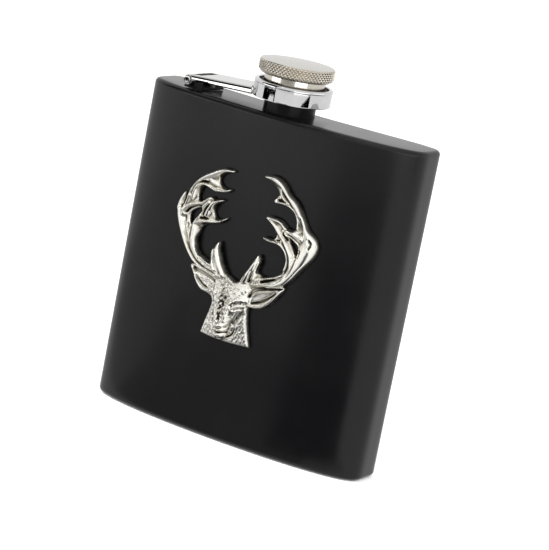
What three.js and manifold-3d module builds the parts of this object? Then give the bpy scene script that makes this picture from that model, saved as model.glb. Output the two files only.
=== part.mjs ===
// Hip flask with a hinged, captive screw cap and a cast stag's-head badge.
// Millimetres, +Z up. The origin is at the centre of the flask's flat base. -Y is the
// front, which bulges and carries the badge, and the hinge lies towards -X.

import * as THREE from "three";
import { mergeVertices } from "three/addons/utils/BufferGeometryUtils.js";
import Module from "manifold-3d";

const wasm = await Module();
wasm.setup();

// ---- Driving dimensions -------------------------------------------------------------

const GAP = 0.3; // left between pieces that touch or are joined

// Flask body
const BODY_WIDTH = 95;
const BODY_THICKNESS = 20.5; // at the middle, front skin to back skin
const BODY_HEIGHT = 101;
const BODY_BEND = 4.25; // how far the two narrow ends curl towards the back
const BODY_SQUARENESS = 4.6; // exponent of the superellipse: 2 is an ellipse
const SHEET = 0.7; // sheet steel
const EDGE_RADIUS = 1.4; // rounding of the top and base plates
const PLATE_HEIGHT = 1.4; // rim height of the dished top and base plates

// Neck and screw thread
const NECK_RADIUS = 7.85;
const NECK_FLANGE = 0.7; // how far it stands out under the top plate
const NECK_FLANGE_THICKNESS = 0.8;
const NECK_CHAMFER = 0.3;
const NECK_COLLAR_TOP = BODY_HEIGHT + 3.4;
const NECK_TOP = BODY_HEIGHT + 8.3;
const NECK_BORE = 6;
const NECK_ROOT = 6.85; // under the thread
const THREAD_PITCH = 2;
const THREAD_TURNS = 1.5;
const THREAD_BOTTOM = BODY_HEIGHT + 4.8;
const THREAD_WIRE = 0.45; // radius of the rounded thread ridge
const THREAD_LIFT = 0.05; // its centre line, off the wall it stands on

// Screw cap
const CAP_BOTTOM = BODY_HEIGHT + 4;
const STEM_RADIUS = 9.2;
const STEM_BORE = 8.15;
const KNOB_RADIUS = 11.45;
const KNOB_BOTTOM = BODY_HEIGHT + 11.1;
const KNOB_EDGE_TOP = BODY_HEIGHT + 15.2;
const KNOB_CROWN = 0.5;
const KNOB_CHAMFER = 0.6;
const KNOB_EDGE = 0.3; // small flat that breaks the top edge
const KNOB_SOCKET_DEPTH = 0.7; // the insert's top sits this far inside the knob
const SEAL_THICKNESS = 1.3;
const SEAL_CHAMFER = 0.4;
const CLIP_BOTTOM = BODY_HEIGHT + 4.7;
const CLIP_THICKNESS = 0.6;
const CLIP_OUTER = 11;
const CLIP_INNER = 8.85;
const CLIP_GROOVE_DEPTH = 0.6;
const CLIP_PLAY = 0.2; // above and below the clip in its groove
const CLIP_HALF_MOUTH = THREE.MathUtils.degToRad(14);

// Ring that carries the cap
const RING_RADIUS = 11.9;
const RING_BORE = 11.3;
const RING_BOTTOM = BODY_HEIGHT + 3.9;
const RING_TOP = BODY_HEIGHT + 9.2;
const RING_RIM_BORE = 10.6; // rolled in over the clip
const RING_RIM_THICKNESS = 1.05;
const RING_ROUNDING = 0.75;
const RING_LIP_CHAMFER = 0.3; // inner edge of the rim

// Hinge
const PIN_X = -32;
const PIN_Z = BODY_HEIGHT + 2.8;
const PIN_RADIUS = 0.8;
const PIN_BORE = 0.5;
const KNUCKLE_RADIUS = 1.5;
const PIN_HEAD = 0.4; // how far its spread ends stand out
const ARM_WIDTH = 15;
const ARM_LENGTH = 24; // before its end is scooped out
const ARM_RISE = THREE.MathUtils.degToRad(3.9);
const ARM_NOTCH_END = 3; // past the pin
// Lower edge of its folded sides, [past the pin, above the pin]: deeper towards the ring
const ARM_SIDE_EDGE = [[0, 0.2], [7, 0.2], [7.6, -0.2], [ARM_LENGTH, -0.7]];
const CENTRE_KNUCKLE = 9.2; // length along the pin
const LEAF_LENGTH = 6.2;
const LEAF_HALF_WIDTH = 6.4;
const EAR_START = 2; // past the pin
const EAR_END = 4.7;
const EAR_HEIGHT = 1.4; // above the leaf
const POST_HALF_THICKNESS = 1.2;

// Badge
const BADGE_LIFT = GAP; // its back, off the front skin
const PAD_THICKNESS = 0.4;
const BADGE_ROOT = 2; // how deep the raw castings run before the back is cut
const BADGE_MARGIN = 10; // the badge keeps at least this far from the body's ends
const PAD_LOW = [-6, 33];
const PAD_HIGH = [4.6, 46];

// ---- Helpers ------------------------------------------------------------------------

const solidOf = (geometry) => {
  const bare = geometry.clone();
  bare.deleteAttribute("normal");
  bare.deleteAttribute("uv");
  const merged = mergeVertices(bare, 1e-5);
  const solid = new wasm.Manifold(
    new wasm.Mesh({
      numProp: 3,
      vertProperties: new Float32Array(merged.attributes.position.array),
      triVerts: new Uint32Array(merged.index.array),
    }),
  );
  return solid;
};

const geometryOf = (solid) => {
  const { vertProperties, triVerts } = solid.getMesh();
  const geometry = new THREE.BufferGeometry();
  geometry.setAttribute("position", new THREE.BufferAttribute(vertProperties, 3));
  geometry.setIndex(new THREE.BufferAttribute(triVerts, 1));
  return geometry;
};

const join = (first, ...rest) => {
  const joined = rest.reduce((sum, geometry) => sum.add(solidOf(geometry)), solidOf(first));
  return geometryOf(joined);
};

const cut = (body, ...tools) => {
  const left = tools.reduce((sum, tool) => sum.subtract(solidOf(tool)), solidOf(body));
  return geometryOf(left);
};

const common = (first, second) => geometryOf(solidOf(first).intersect(solidOf(second)));

// A box given by its lowest and highest corners.
const block = (low, high) => {
  const size = high.map((value, axis) => value - low[axis]);
  const middle = high.map((value, axis) => (value + low[axis]) / 2);
  return new THREE.BoxGeometry(...size).translate(...middle);
};

// A round bar about the Z axis.
const bar = (radius, bottom, top, sides = 48) =>
  new THREE.CylinderGeometry(radius, radius, top - bottom, sides)
    .rotateX(Math.PI / 2)
    .translate(0, 0, (bottom + top) / 2);

// A round bar centred on the hinge pin, along Y.
const pinBar = (radius, halfLength, sides = 20) =>
  new THREE.CylinderGeometry(radius, radius, 2 * halfLength, sides).translate(PIN_X, 0, PIN_Z);

// Turns a profile of [radius, z] points about the Z axis.
const turned = (profile, sides = 48) => {
  const points = profile.map(([radius, z]) => new THREE.Vector2(radius, z));
  return new THREE.LatheGeometry(points, sides).rotateX(Math.PI / 2);
};

// Skins a stack of equal rings of points and closes both ends.
const loft = (rings, capOutline) => {
  const count = rings[0].length;
  const positions = rings.flat().flatMap((point) => point.toArray());
  const index = [];
  for (let ring = 0; ring + 1 < rings.length; ring++) {
    for (let i = 0; i < count; i++) {
      const a = ring * count + i;
      const b = ring * count + ((i + 1) % count);
      index.push(a, b, b + count, a, b + count, a + count);
    }
  }
  const last = (rings.length - 1) * count;
  for (const [a, b, c] of THREE.ShapeUtils.triangulateShape(capOutline, [])) {
    index.push(a, c, b);
    index.push(last + a, last + b, last + c);
  }
  const geometry = new THREE.BufferGeometry();
  geometry.setAttribute("position", new THREE.Float32BufferAttribute(positions, 3));
  geometry.setIndex(index);
  return geometry;
};

// ---- Flask body ---------------------------------------------------------------------

const OUTLINE_POINTS = 96;
const OUTLINE_SAMPLES = 1440;

// y of the bent centre line that the body is wrapped around
const bend = (x) => BODY_BEND * (x / (BODY_WIDTH / 2)) ** 2;

const superellipsePoint = (turn) => {
  const power = 2 / BODY_SQUARENESS;
  const spread = (value) => Math.sign(value) * Math.abs(value) ** power;
  const x = (BODY_WIDTH / 2) * spread(Math.cos(turn));
  return new THREE.Vector2(x, (BODY_THICKNESS / 2) * spread(Math.sin(turn)) + bend(x));
};

// The body's plan, moved out by `offset` (or in, where it is negative), anticlockwise.
const bodyOutline = (offset = 0) => {
  const samples = [];
  for (let i = 0; i < OUTLINE_SAMPLES; i++) {
    samples.push(superellipsePoint(((i + 0.5) / OUTLINE_SAMPLES) * 2 * Math.PI));
  }
  const moved = samples.map((point, i) => {
    const before = samples.at(i - 1);
    const after = samples[(i + 1) % OUTLINE_SAMPLES];
    const along = after.clone().sub(before).normalize();
    return new THREE.Vector2(point.x + along.y * offset, point.y - along.x * offset);
  });
  const spaced = new THREE.Path([...moved, moved[0]]).getSpacedPoints(OUTLINE_POINTS);
  return spaced.slice(0, OUTLINE_POINTS);
};

const bodyRing = (offset, z) => bodyOutline(offset).map(({ x, y }) => new THREE.Vector3(x, y, z));

// A straight prism on the body's plan.
const bodyPrism = (offset, bottom, top) =>
  loft([bodyRing(offset, bottom), bodyRing(offset, top)], bodyOutline(offset));

const makeBodyWrap = () =>
  cut(
    bodyPrism(0, PLATE_HEIGHT + GAP, BODY_HEIGHT - PLATE_HEIGHT - GAP),
    bodyPrism(-SHEET, 0, BODY_HEIGHT),
  );

// A dished plate with a rounded edge, its skin at z = 0 and its rim standing up.
const makeDish = () => {
  const rings = [];
  for (const degrees of [90, 60, 30, 0]) {
    const angle = THREE.MathUtils.degToRad(degrees);
    const inset = EDGE_RADIUS * (1 - Math.cos(angle));
    rings.push(bodyRing(-inset, EDGE_RADIUS * (1 - Math.sin(angle))));
  }
  const solid = loft(rings, bodyOutline(-EDGE_RADIUS));
  return cut(solid, bodyPrism(-SHEET - EDGE_RADIUS / 2, SHEET, PLATE_HEIGHT + SHEET));
};

const makeBasePlate = () => makeDish();

const makeTopPlate = () => {
  const upsideDown = makeDish().scale(1, 1, -1);
  upsideDown.index.array.reverse();
  upsideDown.translate(0, 0, BODY_HEIGHT);
  const hole = bar(NECK_RADIUS + GAP, BODY_HEIGHT - 2 * PLATE_HEIGHT, BODY_HEIGHT + GAP);
  return cut(upsideDown, hole);
};

// ---- Neck and cap -------------------------------------------------------------------

class Helix extends THREE.Curve {
  constructor(radius, bottom, turns) {
    super();
    Object.assign(this, { radius, bottom, turns });
  }

  getPoint(t) {
    const angle = t * this.turns * 2 * Math.PI;
    const z = this.bottom + t * this.turns * THREAD_PITCH;
    return new THREE.Vector3(this.radius * Math.cos(angle), this.radius * Math.sin(angle), z);
  }
}

// A rounded thread ridge, half sunk in the wall at `radius`.
const threadRidge = (radius) => {
  const circle = new THREE.EllipseCurve(0, 0, THREAD_WIRE, THREAD_WIRE);
  const section = new THREE.Shape(circle.getPoints(6));
  const extrudePath = new Helix(radius, THREAD_BOTTOM, THREAD_TURNS);
  return new THREE.ExtrudeGeometry(section, {
    steps: 16 * THREAD_TURNS,
    bevelEnabled: false,
    extrudePath,
  });
};

const makeNeckSpout = () => {
  const flangeTop = BODY_HEIGHT - SHEET - GAP;
  const flangeBottom = flangeTop - NECK_FLANGE_THICKNESS;
  const flangeRadius = NECK_RADIUS + NECK_FLANGE;
  const tube = turned([
    [NECK_BORE, flangeBottom],
    [flangeRadius, flangeBottom],
    [flangeRadius, flangeTop],
    [NECK_RADIUS, flangeTop],
    [NECK_RADIUS, NECK_COLLAR_TOP - NECK_CHAMFER],
    [NECK_RADIUS - NECK_CHAMFER, NECK_COLLAR_TOP],
    [NECK_ROOT, NECK_COLLAR_TOP],
    [NECK_ROOT, NECK_TOP - NECK_CHAMFER],
    [NECK_ROOT - NECK_CHAMFER, NECK_TOP],
    [NECK_BORE, NECK_TOP],
    [NECK_BORE, flangeBottom],
  ]);
  return join(tube, threadRidge(NECK_ROOT + THREAD_LIFT));
};

const makeThreadedInsert = () => {
  const ceiling = NECK_TOP + GAP + SEAL_THICKNESS + GAP;
  const top = KNOB_BOTTOM + KNOB_SOCKET_DEPTH;
  const grooveBottom = CLIP_BOTTOM - CLIP_PLAY;
  const grooveTop = CLIP_BOTTOM + CLIP_THICKNESS + CLIP_PLAY;
  const grooveFloor = STEM_RADIUS - CLIP_GROOVE_DEPTH;
  const tube = turned([
    [0, ceiling],
    [STEM_BORE, ceiling],
    [STEM_BORE, CAP_BOTTOM],
    [STEM_RADIUS, CAP_BOTTOM],
    [STEM_RADIUS, grooveBottom],
    [grooveFloor, grooveBottom],
    [grooveFloor, grooveTop],
    [STEM_RADIUS, grooveTop],
    [STEM_RADIUS, top],
    [0, top],
  ]);
  return join(tube, threadRidge(STEM_BORE + 2 * THREAD_LIFT));
};

const makeCapSeal = () => {
  const bottom = NECK_TOP + GAP;
  const radius = STEM_BORE - GAP;
  return turned([
    [0, bottom],
    [radius - SEAL_CHAMFER, bottom],
    [radius, bottom + SEAL_CHAMFER],
    [radius, bottom + SEAL_THICKNESS],
    [0, bottom + SEAL_THICKNESS],
  ]);
};

const makeCapKnob = () => {
  const socket = STEM_RADIUS + GAP;
  const socketTop = KNOB_BOTTOM + KNOB_SOCKET_DEPTH + GAP;
  const crownRadius = KNOB_RADIUS - KNOB_EDGE;
  const crown = [];
  for (const share of [1, 0.7, 0.35, 0]) {
    crown.push([crownRadius * share, KNOB_EDGE_TOP + KNOB_CROWN * (1 - share ** 2)]);
  }
  return turned(
    [
      [0, socketTop],
      [socket, socketTop],
      [socket, KNOB_BOTTOM],
      [KNOB_RADIUS - KNOB_CHAMFER, KNOB_BOTTOM],
      [KNOB_RADIUS, KNOB_BOTTOM + KNOB_CHAMFER],
      [KNOB_RADIUS, KNOB_EDGE_TOP - KNOB_EDGE],
      ...crown,
    ],
    60,
  );
};

// An open spring ring that snaps into the groove round the insert.
const makeRetainingClip = () => {
  const start = CLIP_HALF_MOUTH;
  const end = 2 * Math.PI - CLIP_HALF_MOUTH;
  const arc = (radius, from, to) =>
    new THREE.EllipseCurve(0, 0, radius, radius, from, to, from > to).getPoints(32);
  const shape = new THREE.Shape([...arc(CLIP_OUTER, start, end), ...arc(CLIP_INNER, end, start)]);
  const flat = new THREE.ExtrudeGeometry(shape, { depth: CLIP_THICKNESS, bevelEnabled: false });
  return flat.translate(0, 0, CLIP_BOTTOM);
};

// The ring that the cap turns in: a short sleeve whose rim is rolled in over the clip.
const makeSwivelRing = () => {
  const rimBottom = RING_TOP - RING_RIM_THICKNESS;
  const rounding = [];
  for (const degrees of [0, 30, 60, 90]) {
    const angle = THREE.MathUtils.degToRad(degrees);
    const radius = RING_RADIUS - RING_ROUNDING * (1 - Math.cos(angle));
    rounding.push([radius, RING_TOP - RING_ROUNDING * (1 - Math.sin(angle))]);
  }
  return turned([
    [RING_BORE, RING_BOTTOM],
    [RING_RADIUS, RING_BOTTOM],
    ...rounding,
    [RING_RIM_BORE, RING_TOP - RING_LIP_CHAMFER],
    [RING_RIM_BORE, rimBottom],
    [RING_BORE, rimBottom],
    [RING_BORE, RING_BOTTOM],
  ]);
};

// ---- Hinge --------------------------------------------------------------------------

const LEAF_TOP = BODY_HEIGHT + GAP + SHEET;
const KNUCKLE_BORE = PIN_RADIUS + GAP;
const OVERLAP = 0.1; // sinks one shape into the next before they are joined

// A leaf on the top plate, its two sides folded up inside the arm's channel, and a post
// that carries the centre knuckle.
const makeHingeBracket = () => {
  const bottom = BODY_HEIGHT + GAP;
  const start = PIN_X - KNUCKLE_RADIUS;
  const half = CENTRE_KNUCKLE / 2;
  const leaf = block(
    [start, -LEAF_HALF_WIDTH, bottom],
    [start + LEAF_LENGTH, LEAF_HALF_WIDTH, LEAF_TOP],
  );
  const ears = [-LEAF_HALF_WIDTH, LEAF_HALF_WIDTH - SHEET].map((y) =>
    block([PIN_X + EAR_START, y, bottom], [PIN_X + EAR_END, y + SHEET, LEAF_TOP + EAR_HEIGHT]),
  );
  const post = block(
    [PIN_X - POST_HALF_THICKNESS, -half, LEAF_TOP - OVERLAP],
    [PIN_X + POST_HALF_THICKNESS, half, PIN_Z],
  );
  const bracket = join(leaf, ...ears, post, pinBar(KNUCKLE_RADIUS, half));
  return cut(bracket, pinBar(KNUCKLE_BORE, ARM_WIDTH));
};

// A tubular rivet with both ends spread over the outer knuckles.
const makeHingePin = () => {
  const shank = ARM_WIDTH / 2 + GAP;
  const end = shank + 0.3;
  const head = PIN_RADIUS + PIN_HEAD;
  const rivet = turned(
    [
      [PIN_BORE, -end],
      [head, -end],
      [head, -shank],
      [PIN_RADIUS, -shank],
      [PIN_RADIUS, shank],
      [head, shank],
      [head, end],
      [PIN_BORE, end],
      [PIN_BORE, -end],
    ],
    20,
  );
  return rivet.rotateX(Math.PI / 2).translate(PIN_X, 0, PIN_Z);
};

// One folded-down side of the arm.
const makeArmSide = (y) => {
  const edge = [...ARM_SIDE_EDGE, [ARM_LENGTH, KNUCKLE_RADIUS], [0, KNUCKLE_RADIUS]];
  const side = new THREE.Shape(edge.map(([x, z]) => new THREE.Vector2(x, z)));
  return new THREE.ExtrudeGeometry(side, { depth: SHEET, bevelEnabled: false })
    .rotateX(Math.PI / 2)
    .translate(0, y + SHEET, 0);
};

// A channel-shaped arm: two outer knuckles, a notch for the bracket's knuckle between
// them, and a far end scooped out to fit the ring.
const makeHingeArm = () => {
  const half = ARM_WIDTH / 2;
  const notch = CENTRE_KNUCKLE / 2 + GAP;
  const top = block([0, -half, KNUCKLE_RADIUS - SHEET], [ARM_LENGTH, half, KNUCKLE_RADIUS]);
  const barrel = new THREE.CylinderGeometry(KNUCKLE_RADIUS, KNUCKLE_RADIUS, ARM_WIDTH, 20);
  const arm = join(top, makeArmSide(-half), makeArmSide(half - SHEET), barrel);
  const window = block([-2, -notch, -2], [ARM_NOTCH_END, notch, 3]);
  const placed = cut(arm, window).rotateY(-ARM_RISE).translate(PIN_X, 0, PIN_Z);
  const scoop = bar(RING_RADIUS + GAP, BODY_HEIGHT, RING_TOP + 5);
  return cut(placed, pinBar(KNUCKLE_BORE, ARM_WIDTH), scoop);
};

// ---- Badge --------------------------------------------------------------------------

// Each stroke of the casting is a list of [x, z, half width, relief] points, in the plane
// of the badge: the antlers are beams and tines that run into one another.
const LEFT_ANTLER = [
  // outer beam, from the skull to the fork
  [[-4, 50.3, 1.8, 2.6], [-12, 51.4, 1.5, 2.4], [-19, 55.8, 1.6, 2.3], [-23.4, 63.5, 1.7, 2.3],
    [-22, 70.5, 1.3, 2.4], [-18.2, 76.6, 1.5, 2.6], [-13.5, 79.8, 1.4, 2.4], [-7.8, 81.5, 0.4, 1.2]],
  // spike on the outside
  [[-23.6, 64.5, 1.4, 2], [-24.8, 68.2, 1, 1.8], [-23.7, 71.4, 0.3, 1]],
  // second tine of the top fork
  [[-19.5, 75, 1, 2], [-14.8, 76.8, 2, 2.2], [-11.5, 75.1, 1, 2], [-7.8, 75.6, 0.4, 1.2]],
  // blunt tine
  [[-22.8, 66.5, 1.3, 2], [-18.5, 69.3, 1, 2.2], [-14.3, 71.9, 0.9, 2]],
  // middle fork
  [[-16.6, 64.9, 0.9, 2.2], [-14.4, 68.2, 1.4, 2.4], [-12.6, 71, 1, 2.2],
    [-9.4, 72.2, 0.35, 1.2]],
  [[-15, 66, 1.4, 2.2], [-10.2, 65.9, 0.9, 2], [-7.2, 67.5, 0.35, 1.2]],
  // inner beam
  [[-13.5, 64.8, 0.8, 1.8], [-17, 62.7, 1.2, 2.2], [-17.6, 58.5, 1.4, 2.4],
    [-14.5, 54.5, 1.5, 2.6], [-5, 51.3, 1.6, 2.8]],
  // brow tine
  [[-5.5, 50, 2, 3], [-7.7, 54.2, 1.9, 3], [-8.5, 57.4, 1.4, 2.6], [-7.9, 60, 0.5, 1.4]],
];
const RIGHT_ANTLER = [
  // outer beam, from the skull to the tip
  [[3, 50.3, 1.8, 2.6], [11, 52.4, 1.7, 2.5], [17.5, 57.2, 2, 2.4], [21, 64.6, 2.9, 2.5],
    [19.2, 71, 1.8, 2.5], [15.2, 77, 1.6, 2.6], [10.8, 80.6, 1.8, 2.5], [6.6, 83.3, 0.9, 2],
    [2.9, 83.1, 0.35, 1.2]],
  // small tine of the top fork
  [[12.5, 78, 1.4, 2], [10.2, 77.4, 1, 1.8], [7.4, 76.9, 0.45, 1.2]],
  // middle fork
  [[16, 64.2, 0.9, 2], [12.6, 68.2, 1.2, 2.4], [9.6, 71, 1.1, 2.2], [5.8, 71.4, 0.4, 1.2]],
  [[10.8, 71, 0.7, 1.8], [13.6, 69.3, 0.6, 1.8], [17.5, 69.5, 1, 2]],
  [[12.8, 68.4, 0.7, 1.8], [17.2, 66.9, 0.7, 2], [18.8, 63, 0.8, 2]],
  // lower tine of the fork and the inner beam in one sweep
  [[5.9, 65.4, 0.35, 1.2], [10, 65.3, 0.9, 2], [14, 63.6, 1.2, 2.2], [16.3, 59.6, 1.3, 2.4],
    [13, 54.8, 1.5, 2.6], [4, 51, 1.6, 2.8]],
  [[13.4, 66.6, 1, 2.2], [16.8, 62.6, 0.9, 2.2], [17.6, 58.5, 1, 2.2]],
  // brow tine
  [[2.5, 50, 2, 3], [4.2, 54.2, 1.6, 3], [5.6, 57.4, 1.2, 2.6], [5.9, 59.8, 0.5, 1.4]],
];
const HEAD = [
  // neck
  [[-0.6, 31.4, 8.4, 1.6], [-0.7, 35.5, 7.6, 1.8], [-0.8, 40, 6.6, 2], [-0.7, 45, 6.4, 2.4]],
  // forehead to chin
  [[-1, 50.4, 4.6, 2.6], [-1, 46.5, 5.6, 4], [-1.1, 42.5, 4.4, 4.6], [-1.3, 37, 2.7, 4.8],
    [-1.5, 33, 2.2, 4]],
  // ears
  [[-6, 46.4, 2.6, 2.4], [-11, 47, 3, 2.2], [-16.6, 50, 0.6, 1.2]],
  [[5, 45.6, 2.4, 2.4], [10, 47.3, 3, 2.2], [15.6, 51.8, 0.6, 1.2]],
];

// y of the front skin, moved out by `offset`
const frontSkin = (x, offset) => {
  const share = Math.abs(x / (BODY_WIDTH / 2)) ** BODY_SQUARENESS;
  return bend(x) - (BODY_THICKNESS / 2) * (1 - share) ** (1 / BODY_SQUARENESS) - offset;
};

// A tapered bar with a faceted, domed face, laid along a stroke on the front skin.
const castBar = (stroke, stepsPerSpan = 2) => {
  const face = [[1, 0.25], [0.6, 0.85], [0, 1], [-0.6, 0.85], [-1, 0.25]];
  const section = [[1, -1], ...face, [-1, -1]];
  const places = stroke.map(([x, z]) => new THREE.Vector3(x, 0, z));
  const sizes = stroke.map(([, , width, relief]) => new THREE.Vector3(width, relief, 0));
  const path = new THREE.CatmullRomCurve3(places);
  const size = new THREE.CatmullRomCurve3(sizes);
  const steps = (stroke.length - 1) * stepsPerSpan;
  const rings = [];
  for (let step = 0; step <= steps; step++) {
    const t = step / steps;
    const centre = path.getPoint(t);
    const along = path.getTangent(t);
    const { x: width, y: relief } = size.getPoint(t);
    const ring = section.map(([across, out]) => {
      const x = centre.x - along.z * across * width;
      const z = centre.z + along.x * across * width;
      const height = out < 0 ? -BADGE_ROOT : out * relief;
      return new THREE.Vector3(x, frontSkin(x, BADGE_LIFT + height), z);
    });
    rings.push(ring);
  }
  return loft(rings, section.map(([across, out]) => new THREE.Vector2(across, out)));
};

// The tape's outline behind the head, as a block that runs well past the front skin.
const padBlock = (margin) => {
  const low = PAD_LOW.map((value) => value + margin);
  const high = PAD_HIGH.map((value) => value - margin);
  return block([low[0], -2 * BODY_THICKNESS, low[1]], [high[0], 0, high[1]]);
};

// Everything within `offset` of the front skin, over the height of the badge.
const nearSkin = (offset) => bodyPrism(offset, BADGE_MARGIN, BODY_HEIGHT - BADGE_MARGIN);

const makeStagBadge = () => {
  const bars = [...LEFT_ANTLER, ...RIGHT_ANTLER, ...HEAD].map((stroke) => castBar(stroke));
  const pocket = common(padBlock(0), nearSkin(BADGE_LIFT + PAD_THICKNESS + GAP));
  return cut(join(...bars), nearSkin(BADGE_LIFT), pocket);
};

const makeBadgePad = () =>
  cut(common(padBlock(GAP), nearSkin(GAP + PAD_THICKNESS)), nearSkin(GAP));

// ---- Assembly -----------------------------------------------------------------------

const finish = (color, roughness, metalness) =>
  new THREE.MeshStandardMaterial({ color, roughness, metalness });

const blackCoat = finish(0x1b1b1c, 0.55, 0.1);
const chrome = finish(0xd9dadb, 0.1, 1);
const nickel = finish(0xb9b6b0, 0.3, 1);
const steel = finish(0xa9a9a8, 0.35, 1);
const pewter = finish(0xb4b2ab, 0.32, 1);
const silicone = finish(0xe6e4de, 0.7, 0);
const adhesive = finish(0x8f8a7c, 0.8, 0);

const flask = new THREE.Group();

const add = (name, geometry, material) => {
  const mesh = new THREE.Mesh(geometry, material);
  mesh.name = name;
  flask.add(mesh);
};

add("body_wrap", makeBodyWrap(), blackCoat);
add("top_plate", makeTopPlate(), blackCoat);
add("base_plate", makeBasePlate(), blackCoat);
add("neck_spout", makeNeckSpout(), blackCoat);
add("hinge_bracket", makeHingeBracket(), blackCoat);
add("hinge_pin", makeHingePin(), chrome);
add("hinge_arm", makeHingeArm(), chrome);
add("swivel_ring", makeSwivelRing(), chrome);
add("retaining_clip", makeRetainingClip(), steel);
add("threaded_insert", makeThreadedInsert(), nickel);
add("cap_seal", makeCapSeal(), silicone);
add("cap_knob", makeCapKnob(), nickel);
add("stag_badge", makeStagBadge(), pewter);
add("badge_pad", makeBadgePad(), adhesive);

export default flask;
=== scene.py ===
import math

import bmesh
import bpy
import numpy as np
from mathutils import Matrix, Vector


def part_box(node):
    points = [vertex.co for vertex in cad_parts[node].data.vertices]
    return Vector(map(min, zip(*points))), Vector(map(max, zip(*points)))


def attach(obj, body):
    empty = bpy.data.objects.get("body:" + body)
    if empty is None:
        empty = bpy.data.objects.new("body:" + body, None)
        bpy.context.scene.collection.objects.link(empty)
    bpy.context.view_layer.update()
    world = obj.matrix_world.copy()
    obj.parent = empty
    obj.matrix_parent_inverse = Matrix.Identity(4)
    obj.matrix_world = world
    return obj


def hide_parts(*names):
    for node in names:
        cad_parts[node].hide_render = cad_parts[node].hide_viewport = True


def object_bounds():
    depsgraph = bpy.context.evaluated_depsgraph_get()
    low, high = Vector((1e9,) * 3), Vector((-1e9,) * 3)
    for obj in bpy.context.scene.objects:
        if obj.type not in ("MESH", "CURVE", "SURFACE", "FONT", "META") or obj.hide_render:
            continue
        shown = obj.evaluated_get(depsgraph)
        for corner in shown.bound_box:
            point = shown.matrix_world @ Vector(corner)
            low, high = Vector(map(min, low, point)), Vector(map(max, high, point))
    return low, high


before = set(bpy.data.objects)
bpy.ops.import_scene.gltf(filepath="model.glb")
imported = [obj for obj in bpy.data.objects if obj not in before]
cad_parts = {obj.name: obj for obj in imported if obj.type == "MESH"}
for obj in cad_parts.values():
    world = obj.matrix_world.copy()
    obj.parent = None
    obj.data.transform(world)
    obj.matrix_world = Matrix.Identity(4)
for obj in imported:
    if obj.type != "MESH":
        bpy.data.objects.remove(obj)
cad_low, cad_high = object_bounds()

# A hip flask with a captive screw cap and a cast stag's-head badge.
# Sizes below are in millimetres; make_piece() turns them into metres.
MM = 0.001


def box_mm(node):
    low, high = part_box(node)
    return np.array(low) / MM, np.array(high) / MM


# ---- Driving dimensions ----

body_low, body_high = box_mm("body_wrap")
plate_high = box_mm("top_plate")[1]
neck_high = box_mm("neck_spout")[1]
seal_high = box_mm("cap_seal")[1]
ring_low, ring_high = box_mm("swivel_ring")
insert_low, insert_high = box_mm("threaded_insert")
clip_low, clip_high = box_mm("retaining_clip")
knob_low, knob_high = box_mm("cap_knob")
pin_low, pin_high = box_mm("hinge_pin")
bracket_low, bracket_high = box_mm("hinge_bracket")
arm_low, arm_high = box_mm("hinge_arm")

# Flask body
WIDTH = body_high[0] - body_low[0]
HEIGHT = plate_high[2]
FRONT = -body_low[1]  # half the thickness at the middle
BEND = 4.25  # how far the two narrow ends curl towards the back
SQUARENESS = 4.6  # exponent of the superellipse
SHEET = 0.7
EDGE_RADIUS = 1.4
PLATE_HEIGHT = 1.4
OUTLINE_POINTS = 400
JOINT_GAP = 0.3  # between pieces that touch in the real flask

# Neck, cap and ring
SIDES = 180
NECK_RADIUS = 7.85
NECK_BORE = 6.0
NECK_ROOT = 6.85
NECK_FLANGE = 0.8  # thickness, under the top plate
NECK_FLANGE_WIDTH = 0.7
NECK_COLLAR_TOP = HEIGHT + 3.4
THREAD_PITCH = 2.0
THREAD_TURNS = 1.5
THREAD_BOTTOM = HEIGHT + 4.8
THREAD_WIRE = 0.45
STEM_RADIUS = 9.2
STEM_BORE = 8.15
STEM_CEILING = seal_high[2] + JOINT_GAP
KNOB_RADIUS = knob_high[0]
KNOB_CROWN = 0.5
KNOB_CHAMFER = 0.6
KNURLS = 60  # grooves each way round the knob
KNURL_DEPTH = 0.36
KNURL_FACETS = 14
KNURL_ROWS = 40
RING_RADIUS = ring_high[0]
RING_BORE = 11.3
RING_RIM_BORE = 10.6
RING_RIM_THICKNESS = 1.05
RING_ROUNDING = 0.75
RING_BEAD = 0.1  # how far the rim's bead stands out from the wall
CLIP_OUTER = 11.0
CLIP_INNER = 8.85
CLIP_GROOVE_DEPTH = 0.6
CLIP_PLAY = 0.2
CLIP_MOUTH = math.radians(28)

# Hinge
PIN_X = (pin_low[0] + pin_high[0]) / 2
PIN_Z = (pin_low[2] + pin_high[2]) / 2
PIN_RADIUS = 0.8
PIN_BORE = 0.5
PIN_HEAD = 1.2
KNUCKLE_RADIUS = 1.5
KNUCKLE_BORE = 1.1
CENTRE_KNUCKLE = 9.2
EAR_HEIGHT = 1.4  # above the leaf
EAR_SETBACK = 2.0  # from the pin's axis
POST_HALF = 1.2
ARM_WIDTH = arm_high[1] - arm_low[1]
ARM_RISE = math.radians(3.9)
ARM_FOLD = 0.8  # radius of the folded edges
ARM_NOTCH = CENTRE_KNUCKLE / 2 + JOINT_GAP  # half the width of the notch
ARM_NOTCH_END = 3.0
ARM_STEP = 7.0  # from the pin to where the folded edge drops
ARM_STEP_LENGTH = 0.6
ARM_TAPER = 16.4
ARM_REACH = RING_RADIUS + JOINT_GAP  # from the cap's axis to the scooped end of the arm

# Badge
BADGE_CELL = 0.15
BADGE_X, BADGE_Z = (-27, 25.2), (30, 85.4)  # the grid that the casting is worked out on
BADGE_BASE = 0.55  # thickness at the rim
BADGE_EDGE = 0.75  # width of the rounded edge
LEAST_RELIEF = 0.15

# Camera
AZIMUTH = math.radians(28.63)
ELEVATION = math.radians(12.94)
ROLL = math.radians(11.07)
CAMERA_DISTANCE = 0.758
CAMERA_LENS = 164.4
CAMERA_SHIFT = (0.0322, 0.0009)

# ---- Mesh helpers ----


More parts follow.
